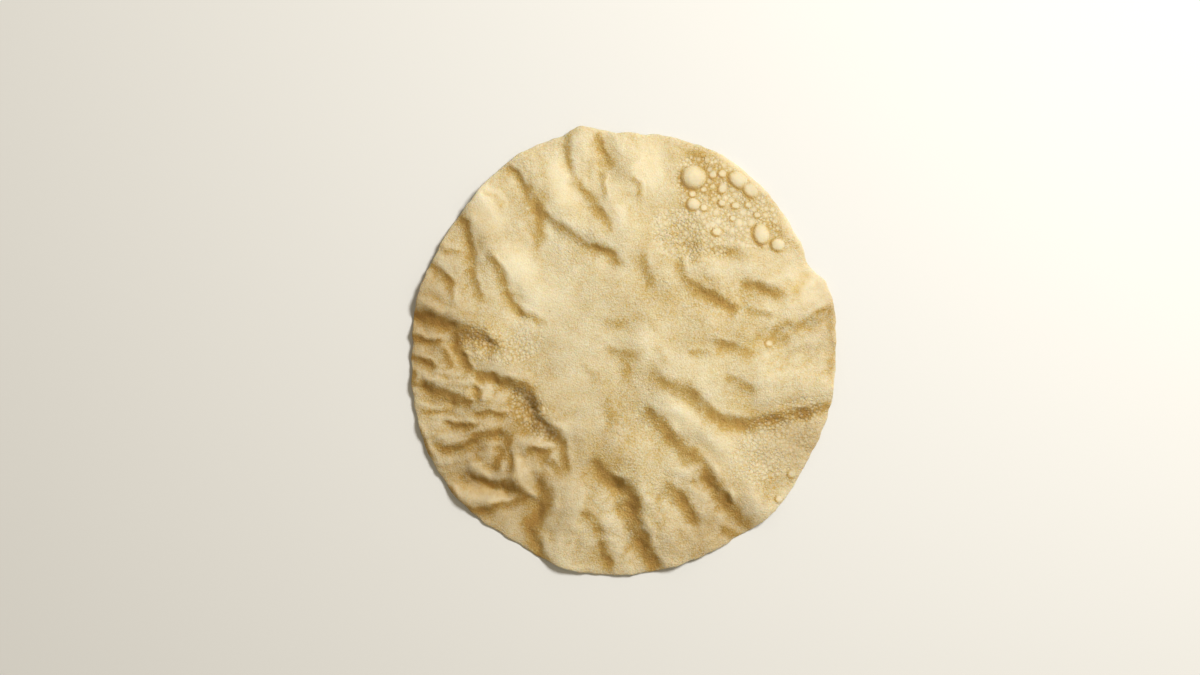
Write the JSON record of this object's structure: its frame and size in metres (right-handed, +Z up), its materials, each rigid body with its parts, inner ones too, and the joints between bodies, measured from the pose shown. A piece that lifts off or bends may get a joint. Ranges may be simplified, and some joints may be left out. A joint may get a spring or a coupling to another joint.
{
  "type": "papadum",
  "caption": "Thin, crisp, round cooked papadum with a wavy rim, soft folds that run in from it and blisters on its upper face.",
  "frame": {"origin": "middle of the footprint, on the surface that the papadum rests on", "axes": "+Z up out of the blistered upper face, +Y along the longer way across, towards the short tab of the rim, +X towards the rim's notch side"},
  "size_m": [0.1898, 0.2014, 0.0115],
  "materials": {
    "crumb": "matt, dry and crisp, pale golden with amber hollows"
  },
  "bodies": {
    "root": {"papadum": "crumb"}
  },
  "joints": []
}
